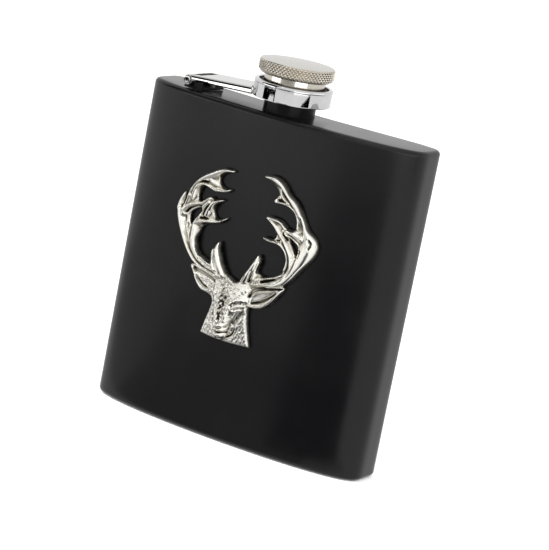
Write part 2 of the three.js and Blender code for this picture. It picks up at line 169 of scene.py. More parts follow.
def add_object(name, data):
    added = bpy.data.objects.new(name, data)
    bpy.context.scene.collection.objects.link(added)
    return added


def add_mesh(name, points, faces, material):
    """A mesh object from points in metres."""
    mesh = bpy.data.meshes.new(name)
    mesh.from_pydata(points, [], faces)
    mesh.materials.append(material)
    return add_object(name, mesh)


def make_piece(name, parts, body, node, material, sharp=40.0, bevel=0.0):
    """One mesh object from a list of (points in mm, faces), riding on a CAD body."""
    points, faces = [], []
    for part_points, part_faces in parts:
        start = len(points)
        points.extend(np.asarray(part_points).tolist())
        faces.extend([[start + i for i in face] for face in part_faces])
    piece = add_mesh(name, (np.array(points) * MM).tolist(), faces, material)
    mesh = piece.data
    merged = bmesh.new()
    merged.from_mesh(mesh)
    bmesh.ops.remove_doubles(merged, verts=merged.verts, dist=1e-7)
    bmesh.ops.recalc_face_normals(merged, faces=merged.faces)
    merged.to_mesh(mesh)
    merged.free()
    mesh.shade_smooth()
    if sharp:
        mesh.set_sharp_from_angle(angle=math.radians(sharp))
    if bevel:
        edges = piece.modifiers.new("edges", "BEVEL")
        edges.width = bevel * MM
        edges.segments = 3
        edges.limit_method = "ANGLE"
        edges.angle_limit = math.radians(sharp)
        edges.harden_normals = True
    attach(piece, body)
    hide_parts(node)
    return piece


def paint_hollow(piece, values):
    """Stores how deep in a hollow each vertex lies, 0 to 1, for the patina on the badge and the painted
    shade in the knob's knurl.
    """
    attribute = piece.data.attributes.new("hollow", "FLOAT", "POINT")
    attribute.data.foreach_set("value", values.astype(np.float32))


def unit(value):
    """The value, kept within 0 and 1."""
    return np.clip(value, 0, 1)


def full_turn(count):
    """Evenly spaced angles all the way round."""
    return np.arange(count) / count * 2 * math.pi


def quarter_round(steps):
    """(inset, rise) along a quarter circle of radius 1, from its upright end to its level one."""
    return [(1 - math.cos(a), math.sin(a)) for a in np.linspace(0, math.pi / 2, steps + 1)]


def polar(radius, bearing, z):
    """Points by their distance from the Z axis, their bearing and their height."""
    return np.column_stack(np.broadcast_arrays(radius * np.cos(bearing), radius * np.sin(bearing), z))


def skin_rings(rings, closed=False, cap=False):
    """Quads between a stack of equal closed rings."""
    count, size = len(rings), len(rings[0])
    faces = []
    for ring in range(count if closed else count - 1):
        here, there = ring * size, (ring + 1) % count * size
        for i in range(size):
            j = (i + 1) % size
            faces.append([here + i, here + j, there + j, there + i])
    if cap:
        faces.append(list(range(size))[::-1])
        faces.append([(count - 1) * size + i for i in range(size)])
    return np.concatenate(rings), faces


def shell_from_grid(top, bottom, kept):
    """A closed shell between two grids of points, over the cells that are kept."""
    rows, columns = top.shape[:2]
    number = np.arange(rows * columns).reshape(rows, columns)
    under = number + rows * columns
    faces = []
    for row, column in np.argwhere(kept):
        corners = [(row, column), (row, column + 1), (row + 1, column + 1), (row + 1, column)]
        faces.append([int(number[c]) for c in corners])
        faces.append([int(under[c]) for c in reversed(corners)])
        beyond = [(row - 1, column), (row, column + 1), (row + 1, column), (row, column - 1)]
        for side, (r, c) in enumerate(beyond):
            inside = 0 <= r < rows - 1 and 0 <= c < columns - 1 and kept[r, c]
            if not inside:
                a, b = corners[side], corners[(side + 1) % 4]
                faces.append([int(number[b]), int(number[a]), int(under[a]), int(under[b])])
    points = np.concatenate([top.reshape(-1, 3), bottom.reshape(-1, 3)])
    used = np.unique([i for face in faces for i in face])
    compact = np.full(len(points), -1)
    compact[used] = np.arange(len(used))
    return points[used], [[int(compact[i]) for i in face] for face in faces]


def rectangle(left, right, low, high, *cut):
    """The corners of a rectangle, with the cut that rounds them if there is one."""
    return [(left, low, *cut), (right, low, *cut), (right, high, *cut), (left, high, *cut)]


def fillet(profile, steps=5):
    """Rounds each (radius, z, cut) corner of a profile, and leaves its (radius, z) points alone."""
    rounded = []
    for i, point in enumerate(profile):
        corner = np.array(point[:2], float)
        if len(point) == 2:
            rounded.append(corner)
            continue
        before = np.array(profile[i - 1][:2], float) - corner
        after = np.array(profile[(i + 1) % len(profile)][:2], float) - corner
        start = corner + before / np.linalg.norm(before) * point[2]
        end = corner + after / np.linalg.norm(after) * point[2]
        for t in np.linspace(0, 1, steps + 1):
            rounded.append((1 - t) ** 2 * start + 2 * t * (1 - t) * corner + t**2 * end)
    return rounded


def turned(profile, closed=True, sides=SIDES):
    """A profile of (radius, z) points turned about the Z axis."""
    return skin_rings([polar(radius, full_turn(sides), z) for radius, z in profile], closed)


def along_pin(part):
    """Lays a part that was turned about Z along the hinge pin."""
    points, faces = part
    return np.column_stack([points[:, 0] + PIN_X, points[:, 2], points[:, 1] + PIN_Z]), faces


def extruded(outline, low, high):
    """An outline of (x, z) points drawn out along Y."""
    rings = [np.array([[x, y, z] for x, z in outline]) for y in (low, high)]
    return skin_rings(rings, cap=True)


def thread_ridge(radius):
    """A rounded thread ridge that fades into the wall at both ends."""
    section = full_turn(12)
    rings = []
    for share in np.linspace(0, 1, int(THREAD_TURNS * 48) + 1):
        size = THREAD_WIRE * min(1.0, 0.1 + 8 * min(share, 1 - share))
        reach = radius + size * np.cos(section)
        z = THREAD_BOTTOM + share * THREAD_TURNS * THREAD_PITCH + size * np.sin(section)
        rings.append(polar(reach, share * THREAD_TURNS * 2 * math.pi, z))
    return skin_rings(rings, cap=True)


def smooth_path(points, spacing=0.4, closed=False):
    """A Catmull-Rom curve through rows of numbers whose first two are (x, z)."""
    rows = np.array(points, float)
    if closed:
        rows = np.vstack([rows[-1], rows, rows[0], rows[1]])
    else:
        rows = np.vstack([2 * rows[0] - rows[1], rows, 2 * rows[-1] - rows[-2]])
    curve = []
    for a, b, c, d in zip(rows, rows[1:], rows[2:], rows[3:]):
        steps = max(2, int(np.linalg.norm((c - b)[:2]) / spacing))
        for t in np.arange(steps) / steps:
            curve.append(
                0.5 * (2 * b + (c - a) * t + (2 * a - 5 * b + 4 * c - d) * t**2
                       + (3 * b - a - 3 * c + d) * t**3)
            )
    if not closed:
        curve.append(rows[-2])
    return np.array(curve)


# ---- Materials ----


class Nodes:
    """Short names for building one material's node tree."""

    def __init__(self, name, **settings):
        self.material = bpy.data.materials.new(name)
        self.material.use_nodes = True
        self.tree = self.material.node_tree
        self.shader = self.tree.nodes["Principled BSDF"]
        for socket, value in settings.items():
            self.shader.inputs[socket.replace("_", " ")].default_value = value
        self.place = self.tree.nodes.new("ShaderNodeTexCoord").outputs["Object"]

    def make(self, kind, output, inputs, **settings):
        """Adds a node, sets or links its inputs, and returns one of its outputs."""
        node = self.tree.nodes.new("ShaderNode" + kind)
        for name, setting in settings.items():
            setattr(node, name, setting)
        for socket, value in inputs.items():
            if isinstance(value, bpy.types.NodeSocket):
                self.tree.links.new(value, node.inputs[socket])
            else:
                node.inputs[socket].default_value = value
        return node.outputs[output]

    def stretch(self, scale):
        return self.make("Mapping", "Vector", {"Vector": self.place, "Scale": scale})

    def noise(self, per_mm, detail=2.0, place=None):
        """Noise with about that many grains to the millimetre."""
        inputs = {"Vector": place or self.place, "Scale": per_mm / MM, "Detail": detail}
        return self.make("TexNoise", "Fac", inputs)

    def attribute(self, name):
        return self.make("Attribute", "Fac", {}, attribute_name=name)

    def spread(self, value, low, high, start=0.3, end=0.7):
        """Maps start..end to low..high."""
        inputs = {"Value": value, "From Min": start, "From Max": end, "To Min": low, "To Max": high}
        return self.make("MapRange", "Result", inputs)

    def ramp(self, value, *stops):
        node = self.tree.nodes.new("ShaderNodeValToRGB")
        elements = node.color_ramp.elements
        while len(elements) < len(stops):
            elements.new(0.5)
        for element, (position, colour) in zip(elements, stops):
            element.position = position
            element.color = (*colour, 1)
        self.tree.links.new(value, node.inputs["Fac"])
        return node.outputs["Color"]

    def combine(self, operation, first, second):
        return self.make("Math", "Value", {0: first, 1: second}, operation=operation)

    def bump(self, height, depth_mm, under=None):
        inputs = {"Height": height, "Distance": depth_mm * MM}
        if under:
            inputs["Normal"] = under
        return self.make("Bump", "Normal", inputs)

    def axis_distance(self):
        """Distance from the cap's axis, in metres."""
        x, y = [self.make("SeparateXYZ", axis, {"Vector": self.place}) for axis in "XY"]
        squares = [self.combine("MULTIPLY", part, part) for part in (x, y)]
        return self.combine("SQRT", self.combine("ADD", *squares), 0.0)

    def finish(self, colour=None, roughness=None, normal=None):
        for source, socket in ((colour, "Base Color"), (roughness, "Roughness"), (normal, "Normal")):
            if source:
                self.tree.links.new(source, self.shader.inputs[socket])
        return self.material


def black_coat(name, gloss=0.36):
    """Matte black powder coat: a fine grain over a slight orange peel, with a sheen at low angles."""
    n = Nodes(name, IOR=1.46, Specular_IOR_Level=gloss)
    grain = n.noise(7, detail=3)
    peel = n.noise(0.9)
    patches = n.noise(0.06, detail=4)
    colour = n.ramp(patches, (0.3, (0.0022, 0.002, 0.0025)), (0.7, (0.003, 0.0028, 0.0032)))
    roughness = n.spread(n.combine("ADD", grain, patches), 0.2, 0.28, 0.7, 1.3)
    return n.finish(colour, roughness, n.bump(grain, 0.004, n.bump(peel, 0.01)))


def chrome(name, tint, rough):
    """Bright plating with faint polishing marks."""
    n = Nodes(name, Metallic=1.0)
    clouds = n.noise(0.25, detail=4)
    marks = n.noise(1.5, detail=3, place=n.stretch((1, 6, 6)))
    dark, light = [tuple(c * k for c in tint) for k in (0.93, 1.0)]
    colour = n.ramp(clouds, (0.35, dark), (0.65, light))
    return n.finish(colour, n.spread(marks, rough, rough + 0.03), n.bump(marks, 0.0008))


def turned_nickel(name, light, rough, lines):
    """Warm nickel with a lathe's fine rings; on a knurl, painted highlights on the flanks and painted
    shade in the grooves.
    """
    n = Nodes(name, Metallic=1.0)
    clouds = n.noise(0.2, detail=4)
    specks = n.noise(4, detail=2)
    rings = n.combine("SINE", n.combine("MULTIPLY", n.axis_distance(), lines / MM), 0.0)
    height = n.combine("ADD", n.combine("MULTIPLY", rings, 0.5), specks)
    # The depth painted on the knob's knurl gives painted shade in its grooves and painted highlights on
    # its flanks (the near-white stop); the clouds vary the tone at random.
    shade_and_tone = n.combine("ADD", n.attribute("hollow"), n.spread(clouds, -0.1, 0.1))
    colour = n.ramp(
        shade_and_tone, (0.1, light), (0.2, (1, 0.94, 0.82)), (0.5, (0.72, 0.67, 0.58)), (0.95, (0.4, 0.36, 0.3))
    )
    return n.finish(colour, n.spread(specks, rough, rough + 0.1), n.bump(height, 0.003))


def pewter(name):
    """Cast pewter, polished on its high places and dark with patina in its hollows."""
    n = Nodes(name, Metallic=1.0)
    hollow = n.attribute("hollow")
    clouds = n.noise(0.5, detail=5)
    pits = n.noise(5, detail=3)
    depth = n.combine("ADD", hollow, n.spread(clouds, -0.06, 0.06))
    colour = n.ramp(
        depth, (0.1, (0.98, 0.96, 0.89)), (0.35, (0.6, 0.57, 0.49)), (0.65, (0.03, 0.027, 0.022))
    )
    roughness = n.combine("ADD", n.spread(pits, 0.12, 0.22), n.combine("MULTIPLY", hollow, 0.35))
    return n.finish(colour, roughness, n.bump(pits, 0.02, n.bump(clouds, 0.03)))


def mottled(name, per_mm, dark, light, rough, depth_mm, **settings):
    """A dull material with a mottle of two tones."""
    n = Nodes(name, **settings)
    mottle = n.noise(per_mm, detail=3)
    colour = n.ramp(mottle, (0.3, dark), (0.7, light))
    return n.finish(colour, n.spread(mottle, *rough), n.bump(mottle, depth_mm))


# ---- Flask body ----


def bend(x):
    return BEND * (x / (WIDTH / 2)) ** 2


def front_skin(x, offset):
    """y of the front skin, moved out by offset."""
    share = np.abs(x / (WIDTH / 2)) ** SQUARENESS
    return bend(x) - FRONT * (1 - share) ** (1 / SQUARENESS) - offset


def body_outline(offset):
    """The body's plan, moved out by offset, as evenly spaced (x, y) points."""
    fine_points = 2880
    turn = full_turn(fine_points) + math.pi / fine_points
    power = 2 / SQUARENESS
    x = WIDTH / 2 * np.sign(np.cos(turn)) * np.abs(np.cos(turn)) ** power
    y = FRONT * np.sign(np.sin(turn)) * np.abs(np.sin(turn)) ** power + bend(x)
    along = np.stack([np.roll(c, -1) - np.roll(c, 1) for c in (x, y)])
    along /= np.linalg.norm(along, axis=0)
    x, y = x + along[1] * offset, y - along[0] * offset
    step = np.hypot(np.diff(x, append=x[0]), np.diff(y, append=y[0]))
    travelled = np.concatenate([[0], np.cumsum(step)])
    wanted = np.arange(OUTLINE_POINTS) / OUTLINE_POINTS * travelled[-1]
    return np.column_stack([np.interp(wanted, travelled, np.append(c, c[0])) for c in (x, y)])


def body_ring(offset, z):
    outline = body_outline(offset)
    return np.column_stack([outline, np.full(len(outline), z)])


def plate_rings():
    """Rings of a dished plate with its skin at z = 0 and its rim standing up."""
    rings = [body_ring(-SHEET, PLATE_HEIGHT)]
    for inset, rise in quarter_round(8):
        rings.append(body_ring(-EDGE_RADIUS * inset, EDGE_RADIUS * (1 - rise)))
    return rings


def make_body(material):
    bottom, top = PLATE_HEIGHT, HEIGHT - PLATE_HEIGHT
    rings = [body_ring(0, bottom), body_ring(0, top), body_ring(-SHEET, top), body_ring(-SHEET, bottom)]
    wrap = skin_rings(rings, closed=True)
    make_piece("wrap_skin", [wrap], "flask", "body_wrap", material)


def make_plates(material):
    rings = plate_rings()
    rim = body_ring(-SHEET - EDGE_RADIUS / 2, SHEET)
    base = skin_rings([rim, *rings], cap=True)
    make_piece("base_skin", [base], "flask", "base_plate", material)

    edge = rings[-1]
    bearing = np.arctan2(edge[:, 1], edge[:, 0])
    mouth = polar(NECK_RADIUS + 0.1, bearing, 0)
    under = mouth + [0, 0, SHEET]
    flat = [edge + (mouth - edge) * share for share in (0.25, 0.5, 0.75, 1)]
    points, faces = skin_rings([rim, *rings, *flat, under], closed=True)
    points = points * [1, 1, -1] + [0, 0, HEIGHT]
    make_piece("top_skin", [(points, faces)], "flask", "top_plate", material)


# ---- Neck and cap ----


def make_neck(material):
    flange_top = HEIGHT - SHEET - JOINT_GAP
    flange_bottom = flange_top - NECK_FLANGE
    flange_radius = NECK_RADIUS + NECK_FLANGE_WIDTH
    profile = fillet([
        (NECK_BORE, flange_bottom, 0.1), (flange_radius, flange_bottom, 0.1),
        (flange_radius, flange_top, 0.1), (NECK_RADIUS, flange_top),
        (NECK_RADIUS, NECK_COLLAR_TOP, 0.3), (NECK_ROOT, NECK_COLLAR_TOP, 0.1),
        (NECK_ROOT, neck_high[2], 0.3), (NECK_BORE, neck_high[2], 0.2),
    ])
    parts = [turned(profile), thread_ridge(NECK_ROOT + 0.05)]
    make_piece("neck_tube", parts, "flask", "neck_spout", material)


def make_insert(material):
    top = insert_high[2]
    groove_low, groove_high = clip_low[2] - CLIP_PLAY, clip_high[2] + CLIP_PLAY
    floor = STEM_RADIUS - CLIP_GROOVE_DEPTH
    wall_low = groove_high + 0.2  # holds the shading of the wall above it flat
    profile = fillet([
        (0, STEM_CEILING), (STEM_BORE, STEM_CEILING, 0.3),
        (STEM_BORE, insert_low[2], 0.2), (STEM_RADIUS, insert_low[2], 0.25),
        (STEM_RADIUS, groove_low, 0.08), (floor, groove_low),
        (floor, groove_high), (STEM_RADIUS, groove_high, 0.08),
        (STEM_RADIUS, wall_low), (STEM_RADIUS, top), (0, top),
    ])
    parts = [turned(profile, closed=False), thread_ridge(STEM_BORE + 0.1)]
    make_piece("stem", parts, "cap", "threaded_insert", material)


def knurl(bearing, z):
    """How far a diamond knurl stands up, from 0 in its grooves to 1 on its points."""
    pitch = 2 * math.pi * KNOB_RADIUS / KNURLS
    height = np.ones_like(bearing)
    for lean in (1, -1):
        turns = (bearing * KNOB_RADIUS + lean * z) / pitch
        from_groove = np.abs(turns - np.round(turns)) * 2
        height = np.minimum(height, from_groove)
    return np.minimum(height * 1.25, 1.0)  # the points are cut a little flat


def make_knob(material):
    """A slightly domed knob with a diamond knurl cut round its edge."""
    bottom, top = knob_low[2], knob_high[2]
    edge = top - KNOB_CROWN
    lip_inset, lip_height = 0.12, 0.15
    band_low, band_high = bottom + KNOB_CHAMFER, edge - lip_height
    bearing = full_turn(KNURLS * KNURL_FACETS)
    socket, socket_top = STEM_RADIUS + JOINT_GAP, bottom + 1
    root = KNOB_RADIUS - KNURL_DEPTH
    underside = [
        (0, socket_top), (socket, socket_top), (socket, bottom, 0.15),
        (root - KNOB_CHAMFER, bottom, 0.15), (root, band_low), (root, band_high),
    ]
    rings = [polar(radius, bearing, z) for radius, z in fillet(underside, 3)[:-2]]
    for share in np.arange(KNURL_ROWS + 1) / KNURL_ROWS:
        z = band_low + share * (band_high - band_low)
        fade = min(1.0, 10 * share, 10 * (1 - share))
        rings.append(polar(root + KNURL_DEPTH * knurl(bearing, z) * fade, bearing, z))
    for inset, rise in quarter_round(3)[1:]:
        rings.append(polar(root - lip_inset * inset, bearing, band_high + lip_height * rise))
    for share in np.linspace(1, 0, 16)[1:]:
        rings.append(polar((root - lip_inset) * share, bearing, edge + KNOB_CROWN * (1 - share**2)))
    piece = make_piece("knob", [skin_rings(rings)], "cap", "cap_knob", material, sharp=50)

    # Each vertex's depth in the knurl, for the painted shade in its grooves and painted highlights on its
    # flanks.
    where = np.array([v.co for v in piece.data.vertices]) / MM
    depth = (KNOB_RADIUS - np.hypot(where[:, 0], where[:, 1])) / KNURL_DEPTH
    in_band = (where[:, 2] > band_low) & (where[:, 2] < band_high)
    paint_hollow(piece, np.where(in_band, unit(depth), 0))


def make_clip(material):
    """The open spring ring in the stem's groove."""
    section = np.array(fillet(rectangle(CLIP_INNER, CLIP_OUTER, clip_low[2], clip_high[2], 0.12), 3))
    bearings = np.linspace(CLIP_MOUTH / 2, 2 * math.pi - CLIP_MOUTH / 2, 120)
    rings = [polar(section[:, 0], bearing, section[:, 1]) for bearing in bearings]
    make_piece("clip", [skin_rings(rings, cap=True)], "clip", "retaining_clip", material)


def make_ring(material):
    """The sleeve that the cap turns in, its rim rolled in over the clip."""
    bottom, top = ring_low[2], ring_high[2]
    rim_bottom = top - RING_RIM_THICKNESS
    bead = top - RING_ROUNDING
    wall = RING_RADIUS - RING_BEAD
    rim = [
        (RING_RADIUS - RING_ROUNDING * inset, bead + RING_ROUNDING * rise)
        for inset, rise in quarter_round(8)
    ]
    profile = fillet([
        (RING_BORE, bottom, 0.1),
        (wall, bottom, 0.18),
        (wall, bottom + 0.35),  # this point and the next hold the wall's shading flat
        (wall, bead - 0.5),
        (wall, bead - 0.3, 0.06),
        (RING_RADIUS, bead - 0.2, 0.06),
        *rim,
        (RING_RIM_BORE, top - 0.12, 0.2),
        (RING_RIM_BORE, rim_bottom, 0.15),
        (RING_BORE, rim_bottom),
    ])
    make_piece("ring", [turned(profile)], "arm", "swivel_ring", material)


# ---- Hinge ----


def knuckle(low, high):
    profile = fillet(rectangle(KNUCKLE_BORE, KNUCKLE_RADIUS, low, high, 0.15))
    return along_pin(turned(profile, sides=48))


def make_pin(material):
    """A tubular rivet with both ends spread."""
    shank = ARM_WIDTH / 2 + JOINT_GAP
    end = pin_high[1]
    profile = fillet([
        (PIN_BORE, -end, 0.12), (PIN_HEAD, -end, 0.2), (PIN_HEAD, -shank), (PIN_RADIUS, -shank),
        (PIN_RADIUS, shank), (PIN_HEAD, shank), (PIN_HEAD, end, 0.2), (PIN_BORE, end, 0.12),
    ])
    rivet = along_pin(turned(profile, sides=48))
    make_piece("rivet", [rivet], "flask", "hinge_pin", material)


def make_bracket(material):
    """A leaf on the top plate with its sides folded up, and the post that carries the centre knuckle."""
    start, end, leaf_half = bracket_low[0], bracket_high[0], bracket_high[1]
    bottom, leaf_top = bracket_low[2], bracket_low[2] + SHEET
    leaf = extruded(rectangle(start, end, bottom, leaf_top), -leaf_half, leaf_half)
    ear = rectangle(PIN_X + EAR_SETBACK, end, bottom, leaf_top + EAR_HEIGHT)
    ears = [extruded(ear, -leaf_half, SHEET - leaf_half), extruded(ear, leaf_half - SHEET, leaf_half)]
    half, base, top = CENTRE_KNUCKLE / 2, leaf_top - 0.1, PIN_Z - 0.7
    post = [
        (PIN_X - POST_HALF, base), (PIN_X + POST_HALF, base),
        (PIN_X + POST_HALF + 0.1, top), (PIN_X - POST_HALF - 0.1, top),
    ]
    parts = [leaf, *ears, extruded(post, -half, half), knuckle(-half, half)]
    make_piece("bracket", parts, "flask", "hinge_bracket", material, bevel=0.12)


def flange_edge(x):
    """Height of the arm's folded-down edge: shallow over the bracket, deeper towards the ring."""
    step = unit((x - ARM_STEP) / ARM_STEP_LENGTH)
    taper = unit((x - ARM_STEP - ARM_STEP_LENGTH) / ARM_TAPER)
    return 0.2 - 0.4 * step - 0.5 * taper


def arm_section(half):
    """(y, z, outward y, outward z) from one folded edge over the top to the other."""
    side = [(-half, None, -1.0, 0.0)]
    for inset, rise in quarter_round(6):
        y, z = -half + ARM_FOLD * inset, KNUCKLE_RADIUS - ARM_FOLD * (1 - rise)
        side.append((y, z, inset - 1, rise))
    top = [(y, KNUCKLE_RADIUS, 0.0, 1.0) for y in np.linspace(-ARM_NOTCH, ARM_NOTCH, 15)]
    return side + top + [(-y, z, -out_y, out_z) for y, z, out_y, out_z in reversed(side)]


def make_arm(material):
    """A channel folded from sheet, notched round the bracket's knuckle and scooped to fit the ring."""
    half = ARM_WIDTH / 2
    section = arm_section(half)
    past_bore = KNUCKLE_BORE + 0.1  # the folded sides start here, clear of the pin
    stations = [0.4, 0.8, past_bore, 1.6, ARM_NOTCH_END, 4, 5.5, 6.6, ARM_STEP, 7.3, 7.6, 8]
    top, bottom = [], []
    for y, z, out_y, out_z in section:
        reach = -math.sqrt(ARM_REACH**2 - y**2) - PIN_X
        line = np.array([*stations, *np.linspace(stations[-1], reach, 8)[1:]])
        height = flange_edge(line) if z is None else np.full(len(line), z)
        top.append(np.column_stack([line, np.full(len(line), y), height]))
        bottom.append(top[-1] - [0, out_y * SHEET, out_z * SHEET])
    top, bottom = np.array(top), np.array(bottom)
    kept = np.ones((top.shape[0] - 1, top.shape[1] - 1), bool)
    kept[[0, -1], : stations.index(past_bore)] = False
    for row in range(kept.shape[0]):
        if abs(section[row][0] + section[row + 1][0]) / 2 < ARM_NOTCH:
            kept[row, : stations.index(ARM_NOTCH_END)] = False
    cosine, sine = math.cos(ARM_RISE), math.sin(ARM_RISE)

    def tilted(grid):
        x, y, z = grid[..., 0], grid[..., 1], grid[..., 2]
        return np.stack([PIN_X + x * cosine - z * sine, y, PIN_Z + x * sine + z * cosine], axis=-1)

    channel = shell_from_grid(tilted(top), tilted(bottom), kept)
    knuckles = [knuckle(-half, -ARM_NOTCH), knuckle(ARM_NOTCH, half)]
    make_piece("arm", [channel, *knuckles], "arm", "hinge_arm", material, bevel=0.08)


# ---- Badge ----

# Outlines of the casting as (x, z), seen from the front.
LEFT_ANTLER = [
    (-2.4, 50.6), (-3.5, 51.2), (-5.2, 53.5), (-6.5, 56), (-7.4, 58.2), (-7.9, 60.1), (-8.9, 59.5),
    (-9.9, 58.2), (-10.3, 56), (-9.7, 53.8), (-10, 53.1), (-13, 53.9), (-15.1, 55.3), (-16.2, 58.5),
    (-15.9, 61), (-15, 62.9), (-13.4, 63.9), (-10.5, 64.7), (-8.6, 65.6), (-7.1, 67.5), (-8.4, 66.9),
    (-10, 66.3), (-11.4, 66.8), (-12.2, 68.5), (-11.8, 70), (-10.6, 71.3), (-9.4, 72.3), (-10.9, 72.4),
    (-12.6, 71.8), (-13.4, 72.2), (-14.4, 72.3), (-16.2, 70.8), (-17.3, 70.1), (-18.3, 70.2),
    (-18.6, 71.5), (-18.4, 73.2), (-17.3, 74.5), (-15.5, 74.7), (-13, 74.1), (-10.2, 74.4), (-8.5, 75),
    (-7.7, 76.1), (-9.2, 76), (-11, 76.3), (-12.1, 77.4), (-12, 79), (-10.4, 80.3), (-7.7, 81.4),
    (-8.2, 81.9), (-11, 82), (-13, 81.2), (-15.2, 79.8), (-17.2, 78.6), (-19.2, 76.9), (-20.8, 74.8),
    (-21.9, 72.5), (-22.4, 70), (-23, 67.9), (-23.5, 68.2), (-23.3, 70), (-23.5, 71.5), (-24.4, 70.4),
    (-25.3, 68.3), (-25.8, 66.3), (-25.3, 64.8), (-24, 62), (-22, 58.5), (-19.9, 55.5), (-17, 52.3),
    (-15, 51.1), (-11, 49.7), (-6, 48.6), (-2.5, 49),
]
RIGHT_ANTLER = [
    (1.2, 50.4), (2.2, 53), (3.5, 55.6), (4.8, 58.2), (5.8, 59.9), (6.7, 59.3), (7, 57.4), (6.4, 55.5),
    (6.7, 54.4), (8.4, 53.9), (10.4, 54.3), (12.6, 55.3), (14.1, 56.7), (14.8, 58.8), (14.8, 60.8),
    (13.9, 62.6), (12.3, 63.9), (10.2, 64.3), (7.7, 64.2), (5.7, 65.3), (7.4, 65.7), (9.2, 65.6),
    (10.1, 66.6), (9.8, 68), (8.7, 69.3), (7.2, 70.4), (5.4, 71.2), (6.4, 71.9), (8.2, 72.1),
    (10.2, 71.9), (12.1, 70.9), (13.5, 70), (15, 69.7), (16, 70.5), (16, 72.2), (15.4, 74), (14, 75.4),
    (12, 76.2), (9.8, 76.1), (8, 76.2), (7.1, 76.9), (8.1, 78.2), (8.3, 79.3), (7.2, 80.7), (5.2, 81.9),
    (2.6, 82.9), (3.6, 83.6), (6, 84.1), (8, 83.6), (10, 82.4), (11.5, 80.8), (12.6, 79.7), (14.2, 78.8),
    (15.7, 77.5), (17.2, 75.5), (18.7, 73.2), (20.1, 71.2), (21.8, 69.9), (23.2, 68.5), (23.9, 66.8),
    (23.8, 65), (23.1, 63), (21.9, 61), (20, 58.2), (18, 55.1), (16.1, 53), (13, 51.2), (8, 49.2),
    (3, 48.6), (0.8, 49.3),
]
HEAD = [
    (-16.9, 50.5), (-15.4, 48.4), (-14.2, 46.6), (-12.7, 44.9), (-11.2, 43.9), (-9.5, 43.5), (-7.7, 42.9),
    (-7.1, 41.8), (-7.3, 39.8), (-8.1, 36.6), (-8.8, 33.6), (-9.1, 31.6), (-8.6, 31.3), (-4, 31), (1, 31),
    (7.4, 31.4), (8.1, 31.8), (7.2, 34.8), (6.3, 38), (5.7, 41), (5.6, 42.9), (6.2, 43.4), (8, 43.4),
    (10, 44), (11.6, 45.1), (13.1, 46.8), (14.5, 49), (15.6, 50.9), (15.9, 52.3), (13, 52.2), (8, 51.8),
    (3.5, 51), (1.2, 50.4), (0, 49.9), (-1.2, 50.2), (-2.8, 50.9), (-6, 51.3), (-11, 51.8), (-15, 51.2),
]
HOLES = [
    [(-20.3, 65.6), (-19.4, 66.7), (-17.9, 67.7), (-16.6, 68.2), (-16.2, 67.6), (-17, 66), (-18, 64.5),
     (-18.9, 63.2), (-19.3, 62.2), (-19.9, 62.8), (-20.3, 64.2)],
    [(14.3, 67.4), (16.2, 66.8), (17.6, 65.8), (18.1, 64.4), (17.9, 63), (17.4, 62.6), (16.6, 63.9),
     (15.6, 65.4)],
]

